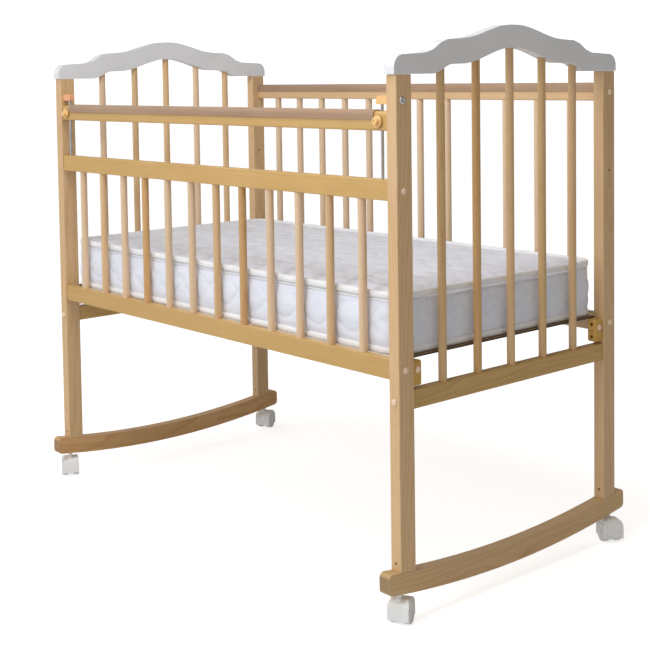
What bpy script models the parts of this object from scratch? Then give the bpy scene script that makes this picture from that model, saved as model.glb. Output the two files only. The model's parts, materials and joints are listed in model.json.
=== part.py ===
"""Rocking baby crib with a sliding drop rail, in metres, +Z up.

X runs along the crib's length, the drop side faces -Y, and the casters stand on z = 0.
"""
import math

import bmesh
import bpy
from mathutils import Matrix, Vector

# Overall sizes
LENGTH = 1.260            # over the outer faces of the end posts
WIDTH = 0.680             # over the front and rear posts
POST_X = 0.027            # post section along the crib
POST_Y = 0.0405           # post section across the crib
POST_TOP = 1.054          # where the shaped end rails sit
FIT_GAP = 0.0003          # gap between pieces that rest on each other

# Rockers and casters
ROCKER_RADIUS = 2.500     # radius of both rocker edges
ROCKER_LOW = 0.040        # underside of the rocker at mid width
ROCKER_DEPTH = 0.042
ROCKER_OVERHANG = 0.032   # how far a rocker runs past the posts
ROCKER_CORNER = 0.010
POST_FOOT = 0.010         # post length that the rocker's curve trims away
ROCKER_STEPS = 14
WHEEL_RADIUS = 0.0205
WHEEL_WIDTH = 0.0150
WHEEL_RIM = 0.0024        # rounding of the tread's edges
WEB_WIDTH = 0.0125        # hood web between the two wheels
AXLE_RADIUS = 0.003
CASTER_TRAIL = 0.010
CASTER_INSET = 0.008      # caster stem from the line of the posts' outer faces
HOOD_SHELL = 0.0035       # hood outside the wheel's tread
HOOD_SIDE_STEP = 0.0005   # the wheels stand out this far from the hood's sides
HOOD_BOTTOM = 0.010
HOOD_TOP = 0.0505
HOOD_CROWN = 0.0200       # rounding of the hood's top
HOOD_SHOULDER = 0.0095    # rounding of the hood's sides into its top
HOOD_ROUND = 0.0012
WHEEL_ROOM = 0.001        # space around a wheel inside its hood
NECK_RADIUS = 0.0068
NECK_TOP = 0.0518
STEM_RADIUS = 0.0050
STEM_DEPTH = 0.020        # length of stem inside the rocker
SOCKET_ROOM = 0.0005

# End panels
ARCH_RISE = 0.097         # height of the shaped rail at mid width, above the posts
ARCH_OVERHANG = 0.005
END_RAIL_LOW = 0.414
END_RAIL_HEIGHT = 0.037
END_RAIL_THICK = 0.022
SPINDLE_RADIUS = 0.0085
SPINDLE_SHARE = 0.1720    # spindle pitch as a share of the width between the posts
SPINDLE_COUNT = 5
SPINDLE_INSET = 0.012     # how far a spindle or bar goes into a rail

# Side grilles
RAIL_THICK = 0.020
RAIL_SETBACK = 0.0025     # side rails stand back from the post faces
RAIL_HEIGHT = 0.040
LOW_RAIL_Z = 0.473        # underside of the front and rear bottom rails
MIDDLE_RAIL_Z = 0.815     # underside of the front middle rail
BAR_COUNT = 12
BAR_END_SHARE = 0.875     # last bar to post, as a share of the bar pitch
BAR_RADIUS = 0.0086
ROD_SEGMENTS = 16          # sides of a round bar
TURNED_SEGMENTS = 18      # sides of a turned knob
WHEEL_SEGMENTS = 28       # sides of a wheel and of the pocket round it

# Capped top rails, the front one sliding
CAPPED_HEIGHT = 0.038     # wood of a capped rail
CAPPED_ROUND = 0.0078     # rounding of its top edges
CAPPED_LOW_ROUND = 0.003
DROP_RAIL_Z = 0.9475      # underside of the drop rail when raised
REAR_TOP_Z = 0.9885       # underside of the rear top rail
DROP_END_ROOM = 0.0015    # running room between the drop rail and the posts
COVER_WALL = 0.0020
COVER_HEIGHT = 0.0195
COVER_END_SETBACK = 0.036 # bare wood at each end of the drop rail
ROD_INSET = 0.0235        # rod axis from the post's inner face
ROD_RADIUS = 0.003
ROD_ROOM = 0.0005
ROD_SEAT = 0.015          # length of rod inside the middle rail
HOLDER_LENGTH = 0.033
HOLDER_WIDTH = 0.0135
HOLDER_LOW = 0.998
HOLDER_HEIGHT = 0.016
HOLDER_TOP_ROUND = 0.006
HOLDER_ROUND = 0.002
KNOB_Z = 0.965
KNOB_RADIUS = 0.012
KNOB_STEM_RADIUS = 0.004
KNOB_LIFT = 0.0030        # the flange clears the vinyl cap's front
KNOB_TIP_GAP = 0.0010     # between the knob's stem and the guide rod

# Bed
BRACKET_X = 0.023
BRACKET_Y = 0.025
BRACKET_LOW = 0.457
BRACKET_SETBACK = 0.003   # outer face of a bracket from the post's outer face
BRACKET_ROUND = 0.0045
BRACKET_HOLE = 0.0038     # radius of the two holes through a bracket
BRACKET_HOLE_SHARE = 0.28 # each hole from mid height, as a share of the height
BRACKET_SLOT = (0.012, 0.0030, 0.0028)    # width, depth and height of the slot between the holes
BED_Z = 0.511             # top of the slatted base
BASE_THICK = 0.004
BASE_SIDE_ROOM = 0.0025   # between the base and the line of the posts' inner faces
BASE_END_SETBACK = 0.023  # base end from the posts' outer faces
SLAT_SLOTS = 10
SLAT_SHARE = 0.55         # share of each pitch that is slat
BASE_RIM = 0.045
MATTRESS_END_ROOM = 0.005 # between the mattress and the posts
MATTRESS_SIDE_ROOM = 0.003 # between the mattress and the side rails
MATTRESS_THICK = 0.118
MATTRESS_CORNER = 0.045
MATTRESS_EDGE = 0.010

# Pilot holes
PILOT_RADIUS = 0.0028
PILOT_DEPTH = 0.012
PILOT_Z = 0.120
CROSS_HOLE_Z = 0.836

# Rounding
WOOD_ROUND = 0.0018
ARCH_ROUND = 0.005

# Worked out
HALF_L = LENGTH / 2
HALF_W = WIDTH / 2
INNER_X = HALF_L - POST_X
INNER_Y = HALF_W - POST_Y
POST_MID_X = HALF_L - POST_X / 2
POST_MID_Y = HALF_W - POST_Y / 2
SIDE_Y = HALF_W - RAIL_SETBACK - RAIL_THICK / 2
ROCKER_HALF = HALF_W + ROCKER_OVERHANG
CASTER_Y = HALF_W - CASTER_INSET
ROD_X = INNER_X - ROD_INSET
HOOD_HALF = WHEEL_RADIUS + HOOD_SHELL
WHEEL_INNER = WEB_WIDTH / 2 + WHEEL_ROOM
WHEEL_OUTER = WHEEL_INNER + WHEEL_WIDTH
HOOD_WIDTH = 2 * (WHEEL_OUTER - HOOD_SIDE_STEP)
KNOB_REACH = RAIL_THICK / 2 - ROD_RADIUS - KNOB_TIP_GAP
SPINDLE_PITCH = 2 * INNER_Y * SPINDLE_SHARE
BAR_PITCH = 2 * INNER_X / (BAR_COUNT - 1 + 2 * BAR_END_SHARE)
BASE_LENGTH = LENGTH - 2 * BASE_END_SETBACK
BASE_WIDTH = 2 * (INNER_Y - BASE_SIDE_ROOM)
MATTRESS_LENGTH = 2 * (INNER_X - MATTRESS_END_ROOM)
MATTRESS_WIDTH = 2 * (SIDE_Y - RAIL_THICK / 2 - MATTRESS_SIDE_ROOM)

for leftover in list(bpy.data.objects):
    bpy.data.objects.remove(leftover, do_unlink=True)

scene_root = bpy.context.scene.collection
parts = bpy.data.collections.new("baby_crib")
cutters = bpy.data.collections.new("cutters")
scene_root.children.link(parts)
scene_root.children.link(cutters)


def paint(name, colour, roughness, metallic=0.0):
    """Make a plain Principled material."""
    material = bpy.data.materials.new(name)
    material.use_nodes = True
    shader = material.node_tree.nodes["Principled BSDF"]
    shader.inputs["Base Color"].default_value = (*colour, 1.0)
    shader.inputs["Roughness"].default_value = roughness
    shader.inputs["Metallic"].default_value = metallic
    return material


BIRCH_COLOUR = (0.62, 0.41, 0.20)
PAINT_COLOUR = (0.78, 0.78, 0.80)
VINYL_COLOUR = (0.38, 0.24, 0.15)
LATCH_COLOUR = (0.90, 0.58, 0.22)
BRACKET_COLOUR = (0.62, 0.38, 0.08)
STEEL_COLOUR = (0.62, 0.64, 0.68)
CASTER_COLOUR = (0.82, 0.83, 0.84)
TICKING_COLOUR = (0.86, 0.87, 0.92)
PLY_COLOUR = (0.34, 0.22, 0.12)


def add_object(name, mesh, collection=parts):
    """Link a mesh as a named object."""
    obj = bpy.data.objects.new(name, mesh)
    collection.objects.link(obj)
    return obj


def finish(obj, colour, roughness, metallic=0.0, smooth_angle=35.0):
    """Give a part its own material and smooth shading on round sides."""
    obj.data.materials.clear()
    obj.data.materials.append(paint(obj.name, colour, roughness, metallic))
    obj.data.shade_smooth()
    obj.data.set_sharp_from_angle(angle=math.radians(smooth_angle))
    return obj


def wood(obj):
    """Finish a part as lacquered birch."""
    return finish(obj, BIRCH_COLOUR, 0.38)


def add_bevel(obj, width, segments=2):
    """Round the sharp edges of a part."""
    bevel = obj.modifiers.new("rounded_edges", "BEVEL")
    bevel.width = width
    bevel.segments = segments
    bevel.limit_method = "ANGLE"
    bevel.angle_limit = math.radians(40.0)
    return bevel


def add_boolean(obj, cutter, operation="DIFFERENCE"):
    """Cut or join one solid with another."""
    boolean = obj.modifiers.new(operation.lower(), "BOOLEAN")
    boolean.operation = operation
    boolean.solver = "EXACT"
    boolean.object = cutter
    return boolean


def box_mesh(name, size):
    """A box centred on its own origin."""
    mesh = bpy.data.meshes.new(name)
    shape = bmesh.new()
    bmesh.ops.create_cube(shape, size=1.0)
    bmesh.ops.scale(shape, vec=Vector(size), verts=shape.verts)
    shape.to_mesh(mesh)
    shape.free()
    return mesh


def rod_mesh(name, radius, length):
    """A round rod along Z, centred on its own origin."""
    mesh = bpy.data.meshes.new(name)
    shape = bmesh.new()
    bmesh.ops.create_cone(
        shape, cap_ends=True, segments=ROD_SEGMENTS, radius1=radius, radius2=radius, depth=length
    )
    shape.to_mesh(mesh)
    shape.free()
    return mesh


def rods_mesh(name, placings, sides=ROD_SEGMENTS):
    """Several separate rods in one mesh: each is radius, length, centre and axis."""
    mesh = bpy.data.meshes.new(name)
    shape = bmesh.new()
    for radius, length, centre, axis in placings:
        turn = Vector((0, 0, 1)).rotation_difference(Vector(axis)).to_matrix().to_4x4()
        bmesh.ops.create_cone(
            shape, cap_ends=True, segments=sides, radius1=radius, radius2=radius,
            depth=length, matrix=Matrix.Translation(centre) @ turn,
        )
    shape.to_mesh(mesh)
    shape.free()
    return mesh


def as_cutter(obj):
    """Keep a cutting solid out of the finished crib."""
    obj.hide_render = True
    obj.display_type = "WIRE"
    return obj


def drill(name, placings, sides=ROD_SEGMENTS):
    """A cutter made of round holes."""
    return as_cutter(add_object(name, rods_mesh(name, placings, sides), cutters))


def slab_mesh(name, outline, thickness, turn):
    """A flat closed outline given thickness, then turned into place."""
    curve = bpy.data.curves.new(name, "CURVE")
    curve.dimensions = "2D"
    curve.fill_mode = "BOTH"
    curve.extrude = thickness / 2
    spline = curve.splines.new("POLY")
    spline.points.add(len(outline) - 1)
    for point, (across, up) in zip(spline.points, outline):
        point.co = (across, up, 0.0, 1.0)
    spline.use_cyclic_u = True
    flat = bpy.data.objects.new(name, curve)
    scene_root.objects.link(flat)
    mesh = bpy.data.meshes.new_from_object(flat)
    mesh.name = name
    bpy.data.objects.remove(flat, do_unlink=True)
    shape = bmesh.new()
    shape.from_mesh(mesh)
    bmesh.ops.remove_doubles(shape, verts=shape.verts, dist=0.00001)
    bmesh.ops.transform(shape, matrix=turn, verts=shape.verts)
    bmesh.ops.recalc_face_normals(shape, faces=shape.faces)
    shape.to_mesh(mesh)
    shape.free()
    return mesh


# Outline axes (across, up) become these crib axes
ACROSS_Y_UP_Z = Matrix(((0, 0, 1, 0), (1, 0, 0, 0), (0, 1, 0, 0), (0, 0, 0, 1)))
ACROSS_X_UP_Z = Matrix(((1, 0, 0, 0), (0, 0, -1, 0), (0, 1, 0, 0), (0, 0, 0, 1)))
FLAT = Matrix.Identity(4)


def corner(centre, radius, start_deg, end_deg, steps):
    """Points round a corner."""
    points = []
    for step in range(steps + 1):
        angle = math.radians(start_deg + (end_deg - start_deg) * step / steps)
        across = centre[0] + radius * math.cos(angle)
        points.append((across, centre[1] + radius * math.sin(angle)))
    return points


def rounded_box_outline(half_across, low, high, low_radius, high_radius, steps=4):
    """A rectangle with rounded corners, anticlockwise."""
    left = -half_across
    right = half_across
    points = corner((right - low_radius, low + low_radius), low_radius, -90, 0, steps)
    points += corner((right - high_radius, high - high_radius), high_radius, 0, 90, steps)
    points += corner((left + high_radius, high - high_radius), high_radius, 90, 180, steps)
    points += corner((left + low_radius, low + low_radius), low_radius, 180, 270, steps)
    return points


def turned_mesh(name, profile, sides=TURNED_SEGMENTS):
    """A solid turned about Z from a profile that runs down its outer side."""
    mesh = bpy.data.meshes.new(name)
    mesh.from_pydata([(r, 0.0, z) for r, z in profile], [(i, i + 1) for i in range(len(profile) - 1)], [])
    obj = bpy.data.objects.new(name, mesh)
    scene_root.objects.link(obj)
    screw = obj.modifiers.new("turned", "SCREW")
    screw.axis = "Z"
    screw.angle = math.radians(360.0)
    screw.steps = sides
    screw.render_steps = sides
    screw.use_merge_vertices = True
    screw.merge_threshold = 0.00001
    screw.use_normal_calculate = True
    graph = bpy.context.evaluated_depsgraph_get()
    turned = bpy.data.meshes.new_from_object(obj.evaluated_get(graph))
    bpy.data.objects.remove(obj, do_unlink=True)
    shape = bmesh.new()
    shape.from_mesh(turned)
    bmesh.ops.recalc_face_normals(shape, faces=shape.faces)
    shape.to_mesh(turned)
    shape.free()
    turned.name = name
    return turned


def rocker_edge(across, low):
    """Height of a rocker edge whose lowest point is at low."""
    return low + ROCKER_RADIUS - math.sqrt(ROCKER_RADIUS ** 2 - across ** 2)


def rocker_outline(grow=0.0):
    """Curved rocker, thicker by grow along its top edge."""
    top_at_middle = ROCKER_LOW + ROCKER_DEPTH + grow
    inner = ROCKER_HALF - ROCKER_CORNER
    points = []
    for step in range(ROCKER_STEPS + 1):
        across = -inner + 2 * inner * step / ROCKER_STEPS
        points.append((across, rocker_edge(across, ROCKER_LOW)))
    low_end = rocker_edge(inner, ROCKER_LOW)
    high_end = rocker_edge(inner, top_at_middle)
    round_end = corner((inner, low_end + ROCKER_CORNER), ROCKER_CORNER, -60, 0, 3)
    round_end += corner((inner, high_end - ROCKER_CORNER), ROCKER_CORNER, 0, 60, 3)
    points += round_end
    for step in range(ROCKER_STEPS + 1):
        across = inner - 2 * inner * step / ROCKER_STEPS
        points.append((across, rocker_edge(across, top_at_middle)))
    points += [(-across, up) for across, up in reversed(round_end)]
    return points


def ease(low, high, value):
    """Smooth step from 0 at low to 1 at high."""
    share = min(1.0, max(0.0, (value - low) / (high - low)))
    return share * share * (3.0 - 2.0 * share)


def arch_top(across):
    """Upper edge of the shaped rail above the posts: an end lobe, a shoulder and an arch."""
    reach = abs(across) / HALF_W
    lobe = 0.385 + 0.030 * (1.0 - ease(0.75, 0.95, reach))
    shoulder = 0.270 * (1.0 - ease(0.58, 0.76, reach)) + 0.020 * (1.0 - ease(0.45, 0.60, reach))
    crown = 0.295 * (1.0 - ease(0.03, 0.47, reach))
    return ARCH_RISE * (lobe + shoulder + crown)


def arch_underside(across):
    """Lower edge of the shaped rail above the posts."""
    reach = abs(across) / HALF_W
    shoulder = 0.190 * (1.0 - ease(0.54, 0.70, reach))
    crown = 0.325 * (1.0 - ease(0.03, 0.46, reach))
    return ARCH_RISE * (shoulder + crown)


ARCH_STEPS = 31
ARCH_END = HALF_W + ARCH_OVERHANG
ARCH_CORNER = 0.024


def arch_outline():
    """Outline of the shaped end rail, with rounded upper ends."""
    base = POST_TOP + FIT_GAP
    span = ARCH_END - ARCH_CORNER
    top = [(-span + 2 * span * i / ARCH_STEPS) for i in range(ARCH_STEPS + 1)]
    points = [(-ARCH_END, base)]
    arch_span = 0.70 * HALF_W
    for step in range(ARCH_STEPS + 1):
        across = -arch_span + 2 * arch_span * step / ARCH_STEPS
        points.append((across, base + arch_underside(across)))
    points.append((ARCH_END, base))
    end_top = base + arch_top(span)
    round_end = corner((span, end_top - ARCH_CORNER), ARCH_CORNER, 0, 78, 6)
    points += round_end
    points += [(across, base + arch_top(across)) for across in reversed(top)]
    points += [(-across, up) for across, up in reversed(round_end)]
    return points


def spindle_places():
    """Offsets across the crib of the spindles in an end panel."""
    middle = (SPINDLE_COUNT - 1) / 2
    return [(index - middle) * SPINDLE_PITCH for index in range(SPINDLE_COUNT)]


def bar_places():
    """Offsets along the crib of the bars in a side grille."""
    middle = (BAR_COUNT - 1) / 2
    return [(index - middle) * BAR_PITCH for index in range(BAR_COUNT)]


def make_posts(side, sign):
    """Front and rear post of one end panel."""
    clearance = as_cutter(add_object(
        f"rocker_seat_{side}",
        slab_mesh(f"rocker_seat_{side}", rocker_outline(FIT_GAP), POST_X * 2, ACROSS_Y_UP_Z),
        cutters,
    ))
    clearance.location = (sign * POST_MID_X, 0, 0)
    bottom = rocker_edge(INNER_Y, ROCKER_LOW + ROCKER_DEPTH) - POST_FOOT
    for row, facing in (("front", -1), ("rear", 1)):
        name = f"post_{row}_{side}"
        post = add_object(name, box_mesh(name, (POST_X, POST_Y, POST_TOP - bottom)))
        post.location = (sign * POST_MID_X, facing * POST_MID_Y, (POST_TOP + bottom) / 2)
        add_bevel(post, WOOD_ROUND)
        add_boolean(post, clearance)
        entry = facing * POST_MID_Y - POST_Y / 2
        holes = [(PILOT_RADIUS, PILOT_DEPTH * 2, (sign * POST_MID_X, entry, PILOT_Z), (0, 1, 0))]
        if row == "rear":
            across = (sign * POST_MID_X, POST_MID_Y, CROSS_HOLE_Z)
            holes.append((PILOT_RADIUS, POST_X * 2, across, (1, 0, 0)))
        add_boolean(post, drill(f"pilot_holes_{row}_{side}", holes))
        wood(post)


def make_end_panel(side, sign):
    """Shaped rail, spindles, bottom rail and rocker of one end."""
    make_posts(side, sign)
    middle_x = sign * POST_MID_X

    name = f"arch_rail_{side}"
    arch = add_object(name, slab_mesh(name, arch_outline(), POST_X, ACROSS_Y_UP_Z))
    arch.location = (middle_x, 0, 0)
    add_bevel(arch, ARCH_ROUND)

    name = f"end_rail_{side}"
    rail_length = 2 * (INNER_Y - FIT_GAP)
    rail = add_object(name, box_mesh(name, (END_RAIL_THICK, rail_length, END_RAIL_HEIGHT)))
    rail.location = (middle_x, 0, END_RAIL_LOW + END_RAIL_HEIGHT / 2)
    add_bevel(rail, WOOD_ROUND)

    rail_top = END_RAIL_LOW + END_RAIL_HEIGHT
    low = rail_top - SPINDLE_INSET
    sockets = []
    for index, across in enumerate(spindle_places()):
        high = POST_TOP + arch_underside(across) + SPINDLE_INSET
        name = f"spindle_{side}_{index + 1}"
        spindle = add_object(name, rod_mesh(name, SPINDLE_RADIUS, high - low))
        spindle.location = (middle_x, across, (low + high) / 2)
        wood(spindle)
        wide = SPINDLE_RADIUS + FIT_GAP
        long = high - low + 2 * FIT_GAP
        sockets.append((wide, long, (middle_x, across, (low + high) / 2), (0, 0, 1)))
    socket_cutter = drill(f"spindle_sockets_{side}", sockets)
    add_boolean(arch, socket_cutter)
    add_boolean(rail, socket_cutter)
    finish(arch, PAINT_COLOUR, 0.42)
    wood(rail)

    name = f"rocker_{side}"
    rocker = add_object(name, slab_mesh(name, rocker_outline(), POST_X, ACROSS_Y_UP_Z))
    rocker.location = (middle_x, 0, 0)
    add_bevel(rocker, WOOD_ROUND)
    stem_top = rocker_edge(CASTER_Y, ROCKER_LOW) + STEM_DEPTH + SOCKET_ROOM
    socket_radius = STEM_RADIUS + SOCKET_ROOM
    holes = [
        (socket_radius, stem_top, (middle_x, facing * CASTER_Y, stem_top / 2), (0, 0, 1))
        for facing in (-1, 1)
    ]
    add_boolean(rocker, drill(f"caster_sockets_{side}", holes))
    wood(rocker)


def make_front_grille():
    """Middle rail, bottom rail and round bars of the drop side."""
    length = 2 * (INNER_X - FIT_GAP)
    rails = []
    for name, low in (("middle_rail_front", MIDDLE_RAIL_Z), ("bottom_rail_front", LOW_RAIL_Z)):
        rail = add_object(name, box_mesh(name, (length, RAIL_THICK, RAIL_HEIGHT)))
        rail.location = (0, -SIDE_Y, low + RAIL_HEIGHT / 2)
        add_bevel(rail, WOOD_ROUND)
        rails.append(rail)
    low = LOW_RAIL_Z + RAIL_HEIGHT - SPINDLE_INSET
    high = MIDDLE_RAIL_Z + SPINDLE_INSET
    sockets = []
    for index, along in enumerate(bar_places()):
        name = f"bar_front_{index + 1:02d}"
        bar = add_object(name, rod_mesh(name, BAR_RADIUS, high - low))
        bar.location = (along, -SIDE_Y, (low + high) / 2)
        wood(bar)
        wide = BAR_RADIUS + FIT_GAP
        long = high - low + 2 * FIT_GAP
        sockets.append((wide, long, (along, -SIDE_Y, (low + high) / 2), (0, 0, 1)))
    socket_cutter = drill("bar_sockets_front", sockets)
    for rail in rails:
        add_boolean(rail, socket_cutter)
    seat_top = MIDDLE_RAIL_Z + RAIL_HEIGHT
    seat_low = seat_top - ROD_SEAT - FIT_GAP
    seats = [
        (ROD_RADIUS + FIT_GAP, 2 * (seat_top - seat_low), (sign * ROD_X, -SIDE_Y, seat_top), (0, 0, 1))
        for sign in (-1, 1)
    ]
    add_boolean(rails[0], drill("rod_seats", seats))
    for rail in rails:
        wood(rail)


def capped_outline(low):
    """Section of a rail that takes a vinyl cap: round on top."""
    return rounded_box_outline(RAIL_THICK / 2, low, low + CAPPED_HEIGHT, CAPPED_LOW_ROUND, CAPPED_ROUND)


def cover_outline(rail_low):
    """Section of the vinyl cap that wraps over a rail's top."""
    rail_high = rail_low + CAPPED_HEIGHT
    inner_half = RAIL_THICK / 2 + FIT_GAP
    outer_half = inner_half + COVER_WALL
    inner_top = rail_high + FIT_GAP
    outer_top = inner_top + COVER_WALL
    low = outer_top - COVER_HEIGHT
    inner_round = CAPPED_ROUND + FIT_GAP
    outer_round = inner_round + COVER_WALL
    outer = [(outer_half, low)]
    outer += corner((outer_half - outer_round, outer_top - outer_round), outer_round, 0, 90, 5)
    outer += corner((outer_round - outer_half, outer_top - outer_round), outer_round, 90, 180, 5)
    outer.append((-outer_half, low))
    inner = [(-inner_half, low)]
    inner += corner((inner_round - inner_half, inner_top - inner_round), inner_round, 180, 90, 4)
    inner += corner((inner_half - inner_round, inner_top - inner_round), inner_round, 90, 0, 4)
    inner.append((inner_half, low))
    return outer + inner


def make_rear_side():
    """Rear grille, glued up from its bottom rail and bars, under a top rail with a vinyl cap."""
    length = 2 * (INNER_X - FIT_GAP)
    name = "grille_rear"
    grille = add_object(name, box_mesh(name, (length, RAIL_THICK, RAIL_HEIGHT)))
    grille.location = (0, SIDE_Y, LOW_RAIL_Z + RAIL_HEIGHT / 2)
    add_bevel(grille, WOOD_ROUND)
    low = LOW_RAIL_Z + RAIL_HEIGHT - SPINDLE_INSET
    high = REAR_TOP_Z + SPINDLE_INSET
    middle = (low + high) / 2
    places = bar_places()
    bars = [(BAR_RADIUS, high - low, (along, SIDE_Y, middle), (0, 0, 1)) for along in places]
    add_boolean(grille, drill("rear_bars", bars), "UNION")
    wood(grille)

    name = "top_rail_rear"
    rail = add_object(name, slab_mesh(name, capped_outline(REAR_TOP_Z), length, ACROSS_Y_UP_Z))
    rail.location = (0, SIDE_Y, 0)
    wide = BAR_RADIUS + FIT_GAP
    long = high - low + 2 * FIT_GAP
    sockets = [(wide, long, (along, SIDE_Y, middle), (0, 0, 1)) for along in places]
    add_boolean(rail, drill("bar_sockets_rear", sockets))
    wood(rail)

    name = "cover_rear"
    cover = add_object(name, slab_mesh(name, cover_outline(REAR_TOP_Z), length, ACROSS_Y_UP_Z))
    cover.location = (0, SIDE_Y, 0)
    finish(cover, VINYL_COLOUR, 0.5)


def knob_profile():
    """Flanged knob with a raised boss and a dimple, its stem at the bottom."""
    flange = 0.0035
    boss = 0.0095
    boss_radius = KNOB_RADIUS * 0.62
    stem = KNOB_LIFT + KNOB_REACH
    return [
        (0.0, boss - 0.0022), (0.0022, boss - 0.0020), (0.0034, boss - 0.0004),
        (boss_radius - 0.0022, boss), (boss_radius - 0.0006, boss - 0.0008), (boss_radius, boss - 0.0024),
        (boss_radius + 0.0002, flange), (KNOB_RADIUS - 0.0012, flange),
        (KNOB_RADIUS, flange - 0.0012), (KNOB_RADIUS, 0.0),
        (KNOB_STEM_RADIUS, 0.0), (KNOB_STEM_RADIUS, -stem), (0.0, -stem),
    ]


def make_drop_rail():
    """Sliding rail with its vinyl cap, latch knobs, guide rods and rod holders."""
    name = "drop_rail"
    length = 2 * (INNER_X - DROP_END_ROOM)
    rail = add_object(name, slab_mesh(name, capped_outline(DROP_RAIL_Z), length, ACROSS_Y_UP_Z))
    rail.location = (0, -SIDE_Y, 0)
    rail_middle = DROP_RAIL_Z + CAPPED_HEIGHT / 2
    guides = [
        (ROD_RADIUS + ROD_ROOM, CAPPED_HEIGHT * 2, (sign * ROD_X, -SIDE_Y, rail_middle), (0, 0, 1))
        for sign in (-1, 1)
    ]
    add_boolean(rail, drill("rod_guides", guides))
    front = -SIDE_Y - RAIL_THICK / 2
    latch_holes = [
        (KNOB_STEM_RADIUS + FIT_GAP, RAIL_THICK, (sign * ROD_X, front, KNOB_Z), (0, 1, 0))
        for sign in (-1, 1)
    ]
    add_boolean(rail, drill("latch_holes", latch_holes))
    wood(rail)

    name = "cover_front"
    cover_length = 2 * (INNER_X - COVER_END_SETBACK)
    cover = add_object(name, slab_mesh(name, cover_outline(DROP_RAIL_Z), cover_length, ACROSS_Y_UP_Z))
    cover.location = (0, -SIDE_Y, 0)
    finish(cover, VINYL_COLOUR, 0.5)

    seat = MIDDLE_RAIL_Z + RAIL_HEIGHT - ROD_SEAT
    rod_top = HOLDER_LOW + HOLDER_HEIGHT / 2
    for side, sign in (("left", -1), ("right", 1)):
        name = f"latch_knob_{side}"
        knob = add_object(name, turned_mesh(name, knob_profile()))
        knob.location = (sign * ROD_X, front - KNOB_LIFT, KNOB_Z)
        knob.rotation_euler = (math.radians(90.0), 0, 0)
        finish(knob, LATCH_COLOUR, 0.35)

        name = f"guide_rod_{side}"
        rod = add_object(name, rod_mesh(name, ROD_RADIUS, rod_top - seat))
        rod.location = (sign * ROD_X, -SIDE_Y, (rod_top + seat) / 2)
        finish(rod, STEEL_COLOUR, 0.25, 1.0)

        name = f"rod_holder_{side}"
        half = HOLDER_LENGTH / 2
        section = rounded_box_outline(half, 0.0, HOLDER_HEIGHT, HOLDER_ROUND / 2, HOLDER_TOP_ROUND)
        holder = add_object(name, slab_mesh(name, section, HOLDER_WIDTH, ACROSS_X_UP_Z))
        holder.location = (sign * (INNER_X - FIT_GAP - half), -SIDE_Y, HOLDER_LOW)
        add_bevel(holder, HOLDER_ROUND)
        bore_top = rod_top + FIT_GAP
        bore_long = HOLDER_HEIGHT * 2
        bore_middle = (sign * ROD_X, -SIDE_Y, bore_top - bore_long / 2)
        bore = (ROD_RADIUS + FIT_GAP, bore_long, bore_middle, (0, 0, 1))
        add_boolean(holder, drill(f"holder_bore_{side}", [bore]))
        finish(holder, LATCH_COLOUR, 0.4)


def hood_outline():
    """Side view of a caster's hood: upright sides under a rounded top."""
    shoulder = HOOD_HALF - HOOD_CROWN
    centre_z = HOOD_TOP - HOOD_CROWN
    points = [(-HOOD_HALF, HOOD_BOTTOM), (HOOD_HALF, HOOD_BOTTOM)]
    points += corner((shoulder, centre_z), HOOD_CROWN, 0, 90, 7)
    points += corner((-shoulder, centre_z), HOOD_CROWN, 90, 180, 7)
    return points


def wheel_profile():
    """Half section of a pair of wheels on their axle, hub and rim standing proud."""
    sunk = WHEEL_OUTER - 0.0016
    half = [
        (0.0, WHEEL_OUTER), (WHEEL_RADIUS * 0.24, WHEEL_OUTER), (WHEEL_RADIUS * 0.29, sunk),
        (WHEEL_RADIUS * 0.70, sunk), (WHEEL_RADIUS * 0.76, WHEEL_OUTER),
        (WHEEL_RADIUS - WHEEL_RIM, WHEEL_OUTER),
        (WHEEL_RADIUS - WHEEL_RIM * 0.3, WHEEL_OUTER - WHEEL_RIM * 0.3),
        (WHEEL_RADIUS, WHEEL_OUTER - WHEEL_RIM),
        (WHEEL_RADIUS, WHEEL_INNER + WHEEL_RIM),
        (WHEEL_RADIUS - WHEEL_RIM * 0.3, WHEEL_INNER + WHEEL_RIM * 0.3),
        (WHEEL_RADIUS - WHEEL_RIM, WHEEL_INNER), (AXLE_RADIUS, WHEEL_INNER),
    ]
    return half + [(radius, -height) for radius, height in reversed(half)]


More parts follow.
